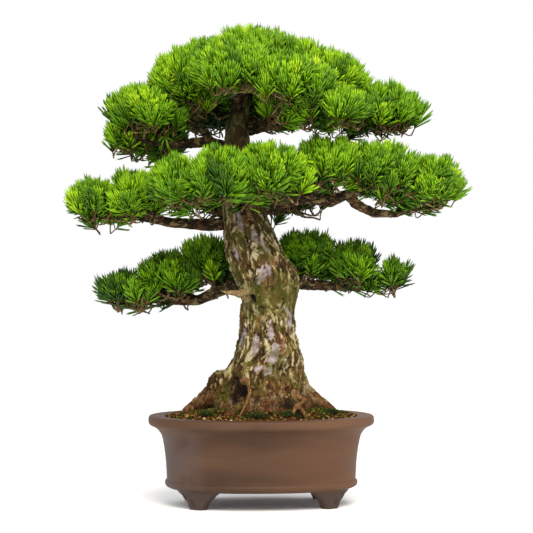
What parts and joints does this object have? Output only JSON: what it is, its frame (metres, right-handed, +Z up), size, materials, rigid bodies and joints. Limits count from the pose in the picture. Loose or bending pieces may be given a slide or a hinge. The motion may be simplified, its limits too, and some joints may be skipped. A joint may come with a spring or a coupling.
{
  "type": "bonsai tree in a pot",
  "caption": "Pine bonsai with a curved flaky trunk, bare boughs and clouded needle pads, planted in mounded gritty soil in an oval unglazed stoneware pot on cloud feet.",
  "frame": {"origin": "on the floor under the middle of the pot and of the whole plant's box", "axes": "+X along the pot's length to the right as the tree's front is seen, -Y to the front, +Z up"},
  "size_m": [0.6778, 0.3931, 0.8125],
  "materials": {
    "stoneware": "unglazed, fired brown, slightly sheened by handling",
    "screen_plastic": "matte moulded",
    "clip_wire": "brown anodised",
    "soil": "loose fired-clay and pumice grains, matte",
    "moss": "soft, velvety",
    "bark": "rough flaky bark",
    "twig_bark": "rough thin bark",
    "needles": "satin needles"
  },
  "bodies": {
    "root": {"pot": "stoneware", "drain_screen_left": "screen_plastic", "drain_screen_right": "screen_plastic", "screen_clip_left": "clip_wire", "screen_clip_right": "clip_wire", "tie_wire": "clip_wire", "soil": "soil", "moss_left": "moss", "moss_front": "moss", "moss_front_right": "moss", "moss_right": "moss", "moss_back": "moss", "trunk": "bark", "bough_lower_left": "twig_bark", "bough_lower_right": "twig_bark", "bough_mid_left": "twig_bark", "bough_mid_right": "twig_bark", "bough_mid_front": "twig_bark", "bough_mid_back": "twig_bark", "bough_crown_left": "twig_bark", "bough_crown_right": "twig_bark", "bough_crown_front": "twig_bark", "bough_crown_back": "twig_bark", "foliage_apex": "needles", "foliage_crown_left": "needles", "foliage_crown_right": "needles", "foliage_crown_front": "needles", "foliage_crown_back": "needles", "foliage_mid_left": "needles", "foliage_mid_front": "needles", "foliage_mid_right": "needles", "foliage_mid_back": "needles", "foliage_lower_left": "needles", "foliage_lower_right": "needles"}
  },
  "joints": []
}
